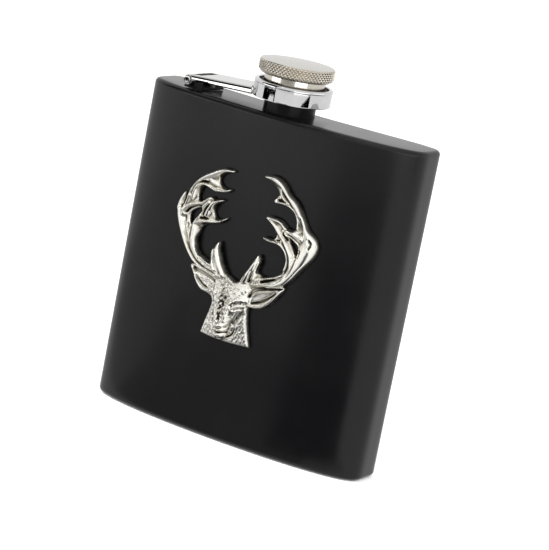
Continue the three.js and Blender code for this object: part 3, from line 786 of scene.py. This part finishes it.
# Strokes as (x, z, half width, height): raised ribs, then cut grooves.
RIBS = [
    # left antler: outer beam and top fork
    [(-6, 50, 1.6, 1.1), (-12, 50.6, 1.2, 1.2), (-16.5, 52.9, 1.1, 1.3), (-20.3, 57, 1, 1.3),
     (-23.4, 62.6, 1, 1.2), (-24.3, 66, 1, 1.1)],
    [(-23.2, 66, 1, 1), (-22, 70, 1, 1.3), (-20.6, 73.6, 0.9, 1.3), (-18, 76.8, 1, 1.3),
     (-14.5, 79.2, 1.2, 1.4), (-11, 81.2, 0.8, 1.3), (-8, 81.7, 0.4, 0.7)],
    [(-20.6, 70.6, 0.8, 1.1), (-19.6, 74, 0.8, 1.2), (-17, 75.6, 0.7, 1.1), (-13, 74.9, 0.8, 1.2),
     (-10, 75.1, 0.7, 1), (-8, 75.8, 0.4, 0.6)],
    [(-15.5, 79, 1, 1), (-14.8, 77.2, 0.8, 0.9), (-13, 76.4, 0.8, 0.8)],
    [(-23, 64.6, 0.8, 1), (-22, 67, 0.8, 1.2), (-19.5, 68.5, 0.7, 1.2), (-16.8, 69.6, 0.7, 1.2),
     (-14.3, 72, 0.7, 1.1)],
    [(-24.8, 66, 0.7, 1), (-24.5, 69, 0.5, 0.8), (-23.7, 71.2, 0.3, 0.4)],
    # left antler: middle fork
    [(-18, 63.8, 0.6, 1.1), (-17, 66, 0.6, 1.2), (-15.8, 68.6, 0.7, 1.2), (-14.2, 70.6, 0.7, 1.3)],
    [(-14.4, 66.6, 0.9, 1), (-13.6, 69, 0.9, 1.2), (-12.2, 71, 0.8, 1.2), (-9.8, 72.1, 0.4, 0.7)],
    [(-18, 63.2, 0.8, 1.2), (-14.5, 64.7, 0.8, 1.3), (-11, 65.4, 0.8, 1.2), (-8.6, 66.4, 0.5, 0.9),
     (-7.3, 67.3, 0.3, 0.5)],
    # left antler: inner beam
    [(-17.8, 63.6, 0.9, 1.1), (-17.6, 60, 1.1, 1.4), (-17, 56.8, 1.2, 1.5), (-14.4, 53.7, 1, 1.4),
     (-10.5, 52.3, 1, 1.3), (-6.5, 51.2, 1, 1)],
    [(-22, 62, 0.8, 0.8), (-20, 58.5, 0.8, 0.8), (-18.6, 56.4, 0.8, 0.9), (-16, 53.6, 0.7, 1),
     (-12, 51.7, 0.6, 1)],
    # left brow tine
    [(-5, 50.6, 1.5, 1.6), (-6.8, 53.4, 1.4, 1.8), (-8.2, 56.6, 1.3, 1.7), (-8.2, 59.6, 0.6, 1)],
    [(-8.2, 51.4, 0.9, 1.5), (-9.3, 54, 0.6, 1.4), (-9.6, 57, 0.6, 1.2)],
    # right antler: outer beam
    [(11, 51, 1.3, 1.3), (15.6, 54, 1.9, 1.5), (18.4, 57.8, 2.3, 1.6), (20.6, 62, 2.4, 1.6),
     (21.4, 65.6, 2.2, 1.5), (20.4, 69, 1.6, 1.3), (18.7, 72.2, 1.2, 1.4), (16.6, 75.2, 1.1, 1.4),
     (14, 77.6, 1, 1.4), (11.2, 79.9, 1, 1.4), (9, 82.1, 1.2, 1.5), (6, 83.2, 0.9, 1.3),
     (3, 83.1, 0.5, 0.7)],
    [(9.2, 81.2, 0.6, 1), (9.9, 79.2, 0.5, 1.1), (12, 77, 0.6, 1.1), (14.6, 75.6, 0.6, 1.1),
     (16.2, 73.2, 0.5, 1), (16.8, 70.8, 0.5, 1)],
    [(9.4, 78.8, 0.5, 1), (8.2, 77.2, 0.5, 0.9), (7.4, 76.9, 0.3, 0.5)],
    [(8, 76.6, 0.4, 0.9), (11, 76.8, 0.4, 0.9), (13.6, 76.1, 0.4, 1)],
    # right antler: middle fork
    [(18.6, 68, 1.2, 1.2), (16, 68.8, 0.8, 1.1), (13.4, 69.3, 0.6, 1.1), (11.4, 71.1, 0.6, 1.1),
     (8.5, 71.5, 0.5, 1), (5.8, 71.5, 0.4, 0.6)],
    [(6.4, 71.3, 0.4, 0.8), (9.4, 69.8, 0.7, 1.3), (11.5, 67.8, 0.7, 1.3), (14, 65.2, 0.6, 1.2),
     (16, 62.2, 0.6, 1.2), (16.8, 58.8, 0.6, 1.2), (16, 56, 0.6, 1.1)],
    [(12.4, 69, 0.5, 1.1), (14.4, 67.6, 0.4, 1.1), (17.2, 66.4, 0.4, 1.1), (18.3, 64, 0.4, 1)],
    [(6, 65.2, 0.4, 0.7), (9, 64.9, 0.5, 1.1), (12.2, 64.6, 0.6, 1.1), (14.4, 62.8, 0.5, 1.1),
     (15.1, 60, 0.4, 1.1), (14.9, 57.6, 0.4, 1)],
    # right antler: lower beam and brow tine
    [(15.8, 56.4, 0.8, 1.2), (13.4, 55, 0.7, 1.3), (10, 53.6, 0.6, 1.2), (6.6, 52, 0.8, 1.1)],
    [(14.5, 52.6, 0.9, 1.2), (10.5, 51.8, 0.8, 1.3), (6, 50.8, 0.9, 1.2)],
    [(2.6, 51, 1.3, 1.5), (4.2, 54, 1.3, 1.6), (5.5, 57, 1, 1.5), (5.9, 59.4, 0.5, 0.9)],
    [(5.4, 52.4, 0.9, 1.2), (6, 55, 0.6, 1.2), (6.5, 57.6, 0.5, 1)],
    # ears
    [(-7.5, 45.2, 0.7, 0.8), (-10.5, 44.6, 0.8, 1), (-13, 46, 0.7, 1), (-15, 48.6, 0.6, 0.9),
     (-16.6, 50.3, 0.4, 0.5)],
    [(6, 44, 0.8, 0.9), (9.4, 44.7, 0.9, 1.1), (12.2, 46.6, 1, 1.2), (14.4, 49.4, 0.9, 1.1),
     (15.6, 51.8, 0.5, 0.6)],
    [(5.6, 47.4, 0.6, 0.9), (8.6, 49.4, 0.5, 0.9), (12, 50.4, 0.5, 0.9), (15, 51.6, 0.4, 0.6)],
]
GROOVES = [
    [(-21.2, 71.6, 0.35, 0.7), (-20.1, 74.4, 0.35, 0.8), (-18.4, 75.9, 0.35, 0.8),
     (-16.5, 76.2, 0.4, 0.8), (-14.5, 75.6, 0.5, 0.7), (-13, 75.5, 0.5, 0.4)],
    [(-23.6, 66.8, 0.4, 1.1), (-23.2, 68.2, 0.35, 1.3)],
    [(-22, 65.6, 0.4, 0.9), (-20.6, 67.2, 0.4, 0.9), (-18.4, 68.4, 0.35, 0.8), (-17, 68.8, 0.3, 0.5)],
    [(-16.2, 65.2, 0.35, 0.9), (-14.6, 65.4, 0.4, 1), (-13.4, 65.5, 0.3, 0.6)],
    [(-15.9, 66.2, 0.35, 0.8), (-15.2, 68, 0.35, 0.8), (-14, 69.8, 0.3, 0.5)],
    [(-21.8, 64, 0.35, 0.6), (-21.2, 61, 0.4, 0.7), (-19.4, 57.6, 0.4, 0.8), (-17.8, 55, 0.35, 0.9),
     (-15.2, 52.6, 0.35, 0.9), (-12, 51.1, 0.3, 0.9), (-9, 50.5, 0.3, 0.8), (-7.5, 50.2, 0.3, 0.5)],
    [(-18.9, 62.6, 0.3, 0.9), (-19, 59.5, 0.35, 1), (-18.6, 56.8, 0.35, 1)],
    [(-20.4, 62, 0.35, 0.5), (-20.4, 59.6, 0.35, 0.5)],
    [(-13.6, 53.3, 0.3, 0.6), (-11, 52.1, 0.3, 0.7), (-9, 51.7, 0.3, 0.5)],
    [(-8.9, 56.8, 0.3, 0.6), (-7.9, 53.8, 0.35, 1), (-6.1, 50.9, 0.35, 0.9)],
    [(-7.4, 53.4, 0.25, 0.5), (-5.6, 50.7, 0.25, 0.6)],
    [(8.9, 81.4, 0.3, 0.5), (10.2, 79.8, 0.45, 0.9), (11.6, 78.4, 0.6, 0.8), (13.4, 77, 0.35, 0.7),
     (15.4, 75, 0.3, 0.5)],
    [(8.6, 77.5, 0.35, 1), (10.8, 77.4, 0.35, 0.9), (12.4, 77, 0.25, 0.5)],
    [(17.2, 73.8, 0.5, 0.7), (18, 71.6, 0.9, 0.8), (18, 69.8, 0.7, 0.5)],
    [(21.2, 68.3, 0.3, 1.2), (21.9, 67.3, 0.35, 1.3), (21.7, 66, 0.3, 1.2)],
    [(18.7, 64.3, 0.25, 0.9), (18.5, 62.3, 0.25, 0.8)],
    [(17.6, 62.3, 0.4, 1)],
    [(13.4, 69.9, 0.25, 0.4), (12.6, 68.2, 0.3, 0.8), (14, 66.6, 0.35, 0.8)],
    [(10.9, 66.9, 0.4, 0.9), (11.4, 65.7, 0.35, 0.9), (10.7, 65.6, 0.3, 0.7)],
    [(12, 66.5, 0.3, 0.5), (14.2, 63.7, 0.3, 0.7), (15.6, 61.4, 0.3, 0.8), (15.9, 59, 0.3, 0.8),
     (15.3, 56.6, 0.3, 0.7)],
    [(17.8, 61.6, 0.3, 0.8), (17.5, 58.8, 0.3, 0.7), (16.6, 56.4, 0.3, 0.5)],
    [(12.8, 54.2, 0.3, 0.6), (10.6, 53.2, 0.4, 0.9), (8.4, 52.2, 0.35, 0.8)],
    [(2.7, 52.6, 0.3, 0.9), (2.2, 50.9, 0.3, 0.8)],
    [(4.9, 54.6, 0.25, 0.3), (4.6, 52.6, 0.3, 0.6), (4.2, 51, 0.3, 0.7)],
    [(15.4, 51.8, 0.35, 1), (12, 50.9, 0.45, 1.3), (9, 50, 0.5, 1.4), (6.4, 48.6, 0.55, 1.5),
     (5.2, 46.8, 0.5, 1.4)],
    [(-15.2, 49.9, 0.45, 1.3), (-12.2, 49.4, 0.55, 1.4), (-9.6, 48.9, 0.5, 1.3), (-7.4, 48, 0.4, 1)],
    [(-14.2, 48, 0.25, 0.5), (-11.8, 46.1, 0.3, 0.6), (-9.8, 45.3, 0.3, 0.6), (-8, 45, 0.3, 0.5)],
    [(13.8, 49.9, 0.3, 0.6), (12.2, 48.4, 0.35, 0.8), (10.4, 46.9, 0.4, 0.9), (8.4, 45.7, 0.4, 0.9),
     (6.4, 44.9, 0.35, 0.8)],
]
# The face: broad swells, fine ribs and cuts.
NECK_SWELL = [(-0.5, 31.6, 9.6, 0.9), (-0.6, 36, 8.4, 1), (-0.7, 42, 7.4, 1.2), (-0.8, 46, 7, 1.3)]
FACE_SWELL = [
    (-1, 50.6, 5.5, 1), (-1, 47.5, 6.6, 1.9), (-1.1, 44, 6.2, 2.5), (-1.4, 41, 4.6, 3),
    (-1.7, 38, 3.3, 3.4), (-1.7, 35.4, 2.8, 3.7), (-1.6, 33.4, 2.3, 3.1),
]
FACE_RIBS = [
    [(-5.2, 44.2, 0.6, 0.3), (-4.9, 41.6, 0.6, 0.4), (-4.3, 38.4, 0.5, 0.35)],
    [(4.8, 45.2, 0.5, 0.3), (2.2, 44.6, 0.5, 0.4), (0.7, 43.2, 0.45, 0.45), (0.1, 40.6, 0.45, 0.4),
     (0, 37.8, 0.45, 0.3)],
    [(1.6, 42, 0.3, 0.2), (2.9, 43, 0.35, 0.3), (4.5, 43.3, 0.35, 0.2)],
    [(2, 41.2, 0.35, 0.2), (3.4, 41.6, 0.35, 0.25), (4.9, 42.6, 0.3, 0.2)],
    [(-3.6, 36.4, 0.5, 0.35), (-2, 36, 0.8, 0.6), (-0.3, 36.4, 0.5, 0.35)],
    [(-3.6, 34.6, 0.4, 0.3), (-1.8, 34.8, 0.4, 0.3), (0.4, 34.9, 0.4, 0.3)],
    [(-3, 33.2, 0.5, 0.35), (-1.6, 33, 0.6, 0.4), (0, 33.3, 0.5, 0.35)],
    [(-6.6, 42.3, 0.3, 0.3), (-5.9, 42.9, 0.3, 0.3)],
]
FACE_CUTS = [
    [(-2.3, 45, 1.2, 0.3), (-2.2, 41.6, 1.4, 0.6), (-2, 38.2, 1, 0.4)],
    [(1.8, 41.7, 0.2, 0.25), (3, 42.4, 0.3, 0.4), (4.4, 42.8, 0.2, 0.3)],
    [(-3.1, 35.3, 0.2, 0.5), (-2, 35.4, 0.25, 0.6), (-0.8, 35.4, 0.2, 0.5)],
    [(-3.9, 35.6, 0.25, 0.5), (-3.5, 36.6, 0.2, 0.3)],
    [(0.4, 35.9, 0.25, 0.6), (0.7, 36.6, 0.2, 0.3)],
    [(-3.6, 34, 0.25, 0.8), (-1.6, 34, 0.25, 0.9), (0.5, 34.3, 0.25, 0.8)],
    [(-1.6, 32.1, 0.25, 0.7), (-0.8, 32.1, 0.25, 0.7)],
    [(0.8, 32.9, 0.3, 0.8), (2, 34, 0.35, 0.9), (2.7, 35.8, 0.35, 0.7)],
    [(2.4, 37.2, 0.5, 0.4), (3.4, 39.4, 0.6, 0.4), (4.9, 41, 0.5, 0.4)],
    [(-5.9, 42.3, 0.25, 0.4), (-5.3, 41.9, 0.25, 0.4)],
    [(-6.6, 47.6, 0.3, 0.4), (-6.9, 45.6, 0.3, 0.4)],
    [(-4, 33.4, 0.3, 0.4), (-4.9, 36, 0.35, 0.3), (-5.4, 39, 0.35, 0.25)],
]

# A stroke of dark specks, left on down the bridge of the nose: (x, z, half width, strength).
NOSE_BRIDGE = [
    (-2.2, 48.5, 3, 0.3), (-2.2, 45.5, 2.2, 0.5), (-2.1, 42.4, 1.5, 0.9), (-1.9, 38.6, 1.2, 0.8),
]


def from_segment(x, z, a, b):
    """How far along the line from a to b the nearest point to (x, z) is, 0 to 1, and its distance."""
    dx, dz = b[0] - a[0], b[1] - a[1]
    share = unit(((x - a[0]) * dx + (z - a[1]) * dz) / (dx * dx + dz * dz))
    return share, np.hypot(x - a[0] - share * dx, z - a[1] - share * dz)


def outline_distance(outline, x, z):
    """Distance inside a closed outline, negative outside it."""
    curve = smooth_path(outline, spacing=0.5, closed=True)
    nearest = np.full(x.shape, np.inf)
    inside = np.zeros(x.shape, bool)
    for a, b in zip(curve, np.roll(curve, -1, axis=0)):
        nearest = np.minimum(nearest, from_segment(x, z, a, b)[1])
        (ax, az), (bx, bz) = a, b
        if az != bz:
            inside ^= ((az > z) != (bz > z)) & (x < ax + (z - az) / (bz - az) * (bx - ax))
    return np.where(inside, 1, -1) * nearest


def stroke_relief(stroke, x, z, shape):
    """Relief of one stroke. shape gives the share of its height at a distance in half widths."""
    relief = np.zeros(x.shape)
    if len(stroke) == 1:  # a dot becomes a very short stroke
        stroke = [stroke[0], (stroke[0][0] + 0.05, *stroke[0][1:])]
    path = smooth_path(stroke)
    reach = 3 * path[:, 2].max()
    near = (x > path[:, 0].min() - reach) & (x < path[:, 0].max() + reach)
    near &= (z > path[:, 1].min() - reach) & (z < path[:, 1].max() + reach)
    px, pz = x[near], z[near]
    nearest = np.full(px.shape, np.inf)
    value = np.zeros(px.shape)
    for a, b in zip(path, path[1:]):
        share, distance = from_segment(px, pz, a, b)
        closer = distance < nearest
        nearest = np.where(closer, distance, nearest)
        half_width, height = (a[k] + share * (b[k] - a[k]) for k in (2, 3))
        value = np.where(closer, height * shape(distance / half_width), value)
    relief[near] = value
    return relief


def highest_relief(strokes, x, z, shape):
    return np.maximum.reduce([stroke_relief(stroke, x, z, shape) for stroke in strokes])


def rib_shape(s):
    return np.exp(-np.abs(s) ** 2.2)


def swell_shape(s):
    return unit(1 - np.abs(s) ** 2.6) ** 0.8


def groove_shape(s):
    return np.exp(-(s**2))


def blurred(values, weight, rounds):
    """Repeated averaging over neighbours, inside the casting only."""
    total, share = values * weight, weight.astype(float)
    for _ in range(rounds):
        for axis in (0, 1):
            total = (np.roll(total, 1, axis) + 2 * total + np.roll(total, -1, axis)) / 4
            share = (np.roll(share, 1, axis) + 2 * share + np.roll(share, -1, axis)) / 4
    return total / np.maximum(share, 1e-6)


def lattice_noise(x, z, size, seed):
    """Smooth random values, -1 to 1, on a lattice of that size in millimetres."""
    table = np.random.default_rng(seed).uniform(-1, 1, (257, 257))
    u, v = np.abs(x) / size % 256, z / size % 256
    u = np.where(x < 0, (256 - u) % 256, u)
    i, j = u.astype(int), v.astype(int)
    fu, fv = u - i, v - j
    fu, fv = fu * fu * (3 - 2 * fu), fv * fv * (3 - 2 * fv)
    table[:, -1], table[-1, :] = table[:, 0], table[0, :]
    low = table[i, j] * (1 - fu) + table[i + 1, j] * fu
    high = table[i, j + 1] * (1 - fu) + table[i + 1, j + 1] * fu
    return low * (1 - fv) + high * fv


def fur(x, z):
    """Short tufts that run down and outwards from the middle of the face."""
    lean = (x + 1) * 0.05
    along = z + lean * x
    across = x - lean * (z - 45)
    coarse = lattice_noise(across, along * 0.45, 0.42, 3)
    return 0.65 * coarse + 0.35 * lattice_noise(across, along, 0.24, 5)


def make_badge(material):
    xs, zs = np.arange(*BADGE_X, BADGE_CELL), np.arange(*BADGE_Z, BADGE_CELL)
    x, z = np.meshgrid(xs, zs, indexing="ij")
    outlines = [outline_distance(outline, x, z) for outline in (LEFT_ANTLER, RIGHT_ANTLER, HEAD)]
    within = np.maximum.reduce(outlines)
    for hole in HOLES:
        within = np.minimum(within, -outline_distance(hole, x, z))

    ribs = highest_relief(RIBS, x, z, rib_shape)
    face = highest_relief([NECK_SWELL, FACE_SWELL], x, z, swell_shape)
    fine = highest_relief(FACE_RIBS, x, z, rib_shape)
    cuts = highest_relief(GROOVES + FACE_CUTS, x, z, groove_shape)

    in_head = outlines[2]
    on_face = unit((51 - z) / 3) * unit((8.5 - np.abs(x + 0.8)) / 2)
    on_neck = unit((44 - z) / 2)
    furred = unit(on_face + on_neck) * unit(in_head / 0.4)
    in_ear = unit((z - 43.5) / 1.5) * unit((50 - z) / 1.5) * unit(-x - 7)
    furred = np.maximum(furred, 0.7 * in_ear * unit(in_head / 0.6))
    smooth_muzzle = np.exp(-(((x + 1.7) / 2.2) ** 2 + ((z - 35.6) / 1.6) ** 2))
    relief = 0.75 + np.maximum(ribs, face) + fine - cuts
    relief += 0.16 * furred * (1 - 0.8 * smooth_muzzle) * fur(x, z)
    relief += 0.03 * lattice_noise(x, z, 1.1, 7)
    relief = np.maximum(relief, LEAST_RELIEF)

    rounding = np.sqrt(1 - (1 - unit(within / BADGE_EDGE)) ** 2)
    height = BADGE_BASE + relief * rounding

    chosen = within > -0.5 * BADGE_CELL
    kept = chosen[:-1, :-1] & chosen[1:, :-1] & chosen[:-1, 1:] & chosen[1:, 1:]
    around = np.pad(kept, 1)
    all_kept = around[:-1, :-1] & around[1:, :-1] & around[:-1, 1:] & around[1:, 1:]
    rim = ~all_kept & chosen
    slope_x, slope_z = np.gradient(within, BADGE_CELL)
    steep = np.maximum(slope_x**2 + slope_z**2, 0.25)
    shift = np.clip(within, -BADGE_CELL, BADGE_CELL)
    x = np.where(rim, x - shift * slope_x / steep, x)
    z = np.where(rim, z - shift * slope_z / steep, z)
    height = np.where(rim, BADGE_BASE, height)

    top = np.stack([x, front_skin(x, JOINT_GAP + height), z], axis=-1)
    bottom = np.stack([x, front_skin(x, JOINT_GAP), z], axis=-1)
    casting = shell_from_grid(top, bottom, kept)
    piece = make_piece("badge", [casting], "flask", "stag_badge", material, sharp=0)

    level = blurred(relief, within > 0, 14)
    hollow = unit((level - relief) * 1.5 + 0.12)
    hollow = np.maximum(hollow, 0.5 * unit(1 - within / 0.25))
    bridge = stroke_relief(NOSE_BRIDGE, x, z, groove_shape)
    hollow = unit(hollow + bridge * (0.55 + 0.9 * lattice_noise(x, z, 0.4, 11)))
    where = np.array([v.co for v in piece.data.vertices]) / MM
    rows = np.clip(np.rint((where[:, 0] - xs[0]) / BADGE_CELL).astype(int), 0, len(xs) - 1)
    columns = np.clip(np.rint((where[:, 2] - zs[0]) / BADGE_CELL).astype(int), 0, len(zs) - 1)
    paint_hollow(piece, hollow[rows, columns])


# ---- Assembly ----

coat = black_coat("powder_coat")
hinge_plating = chrome("hinge_chrome", (0.5, 0.495, 0.485), 0.02)
ring_plating = chrome("ring_chrome", (0.64, 0.64, 0.64), 0.015)
spring_steel = chrome("spring_steel", (0.4, 0.4, 0.41), 0.2)
stem_nickel = turned_nickel("stem_nickel", (0.58, 0.545, 0.48), 0.12, 6)
knob_nickel = turned_nickel("knob_nickel", (0.56, 0.54, 0.5), 0.2, 14)

make_body(coat)
make_plates(coat)
make_neck(black_coat("neck_coat", gloss=0.1))
make_bracket(black_coat("bracket_coat", gloss=0.12))
make_pin(hinge_plating)
make_arm(hinge_plating)
make_ring(ring_plating)
make_clip(spring_steel)
make_insert(stem_nickel)
make_knob(knob_nickel)
make_badge(pewter("cast_pewter"))

# The seal and the pad are hardly seen, so they keep their CAD shapes.
silicone = mottled(
    "seal_silicone", 0.8, (0.74, 0.73, 0.7), (0.82, 0.81, 0.78), (0.5, 0.65), 0.02, IOR=1.42,
    Subsurface_Weight=0.15,
)
adhesive = mottled("foam_adhesive", 6, (0.24, 0.22, 0.19), (0.34, 0.32, 0.27), (0.75, 0.9), 0.05)
plain = {"cap_seal": silicone, "badge_pad": adhesive}
for node, material in plain.items():
    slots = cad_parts[node].data.materials
    slots.clear()
    slots.append(material)

# ---- Stage ----


def screen(name, points, faces, brightness):
    """A panel that only reflections see."""
    n = Nodes(name, Roughness=1.0, Base_Color=(0, 0, 0, 1), Specular_IOR_Level=0.0)
    n.shader.inputs["Emission Color"].default_value = (1, 1, 1, 1)
    n.shader.inputs["Emission Strength"].default_value = brightness
    panel = add_mesh(name, points, faces, n.material)
    panel.visible_camera = False
    panel.visible_shadow = False
    panel.visible_diffuse = False


def curtain(name, distance, lower, upper, brightness):
    """A curved screen round the cap's axis.

    Its edges are (start, end, z), as bearings in degrees from the front towards +X and a height.
    """
    points = []
    for start, end, z in (lower, upper):
        for bearing in np.radians(np.linspace(start, end, 25)):
            points.append((distance * math.sin(bearing), -distance * math.cos(bearing), z))
    count = len(points) // 2
    faces = [[i, i + 1, i + 1 + count, i + count] for i in range(count - 1)]
    screen(name, points, faces, brightness)


def table_card(name, outline, z, brightness):
    """A flat screen at the height of the table, which the body's coat reflects."""
    screen(name, [(x, y, z) for x, y in outline], [list(range(len(outline)))], brightness)


def make_floor():
    n = Nodes("pale_floor", Roughness=0.9, Specular_IOR_Level=0.0)
    n.finish(n.ramp(n.noise(0.002), (0.3, (0.92, 0.92, 0.92)), (0.7, (0.94, 0.94, 0.94))))
    corners = [(x, y, 0) for x, y in rectangle(-6, 6, -6, 6)]
    floor = add_mesh("floor", corners, [[0, 1, 2, 3]], n.material)
    floor.location.z = cad_low.z - 0.0002
    floor.visible_glossy = False


def soft_light(name, place, size, power, reflected=True):
    data = bpy.data.lights.new(name, "AREA")
    data.shape = "RECTANGLE"
    data.size, data.size_y = size
    data.energy = power
    light = add_object(name, data)
    light.location = place
    aim = Vector((0, 0, 0.06)) - Vector(place)
    light.rotation_euler = aim.to_track_quat("-Z", "Y").to_euler()
    light.visible_glossy = reflected


def make_world():
    world = bpy.data.worlds.new("studio")
    bpy.context.scene.world = world
    world.use_nodes = True
    background = world.node_tree.nodes["Background"]
    background.inputs["Color"].default_value = (1, 1, 1, 1)
    background.inputs["Strength"].default_value = 1.0


def make_camera():
    centre = Vector((0, 0, HEIGHT / 2 * MM))
    level = math.cos(ELEVATION)
    back = Vector((math.sin(AZIMUTH) * level, -math.cos(AZIMUTH) * level, math.sin(ELEVATION)))
    data = bpy.data.cameras.new("camera")
    data.lens = CAMERA_LENS
    data.sensor_width = 36
    data.shift_x, data.shift_y = CAMERA_SHIFT
    data.clip_start = 0.01
    data.clip_end = 50
    camera = add_object("camera", data)
    camera.location = centre + back * CAMERA_DISTANCE
    camera.rotation_euler = (-back).to_track_quat("-Z", "Y").to_euler()
    camera.rotation_euler.rotate_axis("Z", ROLL)
    bpy.context.scene.camera = camera


make_floor()
make_world()
soft_light("key", (-0.5, -0.5, 0.9), (0.6, 0.6), 4)
soft_light("fill_left", (-0.9, -0.5, 0.6), (0.9, 0.9), 14, reflected=False)
soft_light("fill_right", (0.9, -0.5, 0.6), (0.9, 0.9), 14, reflected=False)

# Cards that only reflections see: name, distance, lower edge, upper edge, brightness. They give the
# dark gaps in the ring's wall, the squares in the stem, a pale panel and a dark one overhead.
CAP_CARDS = [
    ("gap_left", 0.1, (-58, -43, 0.088), (-58, -34, 0.0929), 0),
    ("gap_left_top", 0.1, (-58, -18, 0.0929), (-58, -18, 0.0952), 0),
    ("gap_left_edge", 0.1, (-21, -18, 0.088), (-21, -18, 0.0929), 0),
    ("gap_right", 0.1, (51, 80, 0.088), (60, 80, 0.0923), 0),
    ("gap_right_top", 0.1, (61, 80, 0.0923), (76, 80, 0.0952), 0),
    ("square_left", 0.1, (-60, -22, 0.0955), (-60, -22, 0.105), 4),
    ("square_middle", 0.1, (-22, 32, 0.0955), (-22, 32, 0.105), 0.35),
    ("square_right", 0.1, (32, 76, 0.0955), (32, 76, 0.105), 4),
    ("panel_right", 0.6, (89, 130, 0.09), (89, 130, 0.3), 1.5),
    ("over", 0.4, (-75, -20, 0.13), (-75, -20, 0.9), 0),
]
# On the table: the dark table itself, over paler cards just below it.
TABLE = [(0.015, -0.02), (0.045, -0.02), (0.12, -0.3), (0.18, -0.54), (-0.14, -0.54), (-0.06, -0.31)]
NEAR = [(0.03, -0.012), (-0.05, -0.012), (-0.13, -0.14), (0.05, -0.14)]
FAR = [(0.05, -0.012), (-0.25, -0.012), (-0.4, -0.33), (0.05, -0.33)]
for card in CAP_CARDS:
    curtain(*card)
table_card("dark_table", TABLE, 0, 0)
table_card("grey_near", NEAR, -0.0001, 0.3)
table_card("grey_far", FAR, -0.00015, 0.6)
bpy.context.scene.view_settings.view_transform = "Standard"
make_camera()
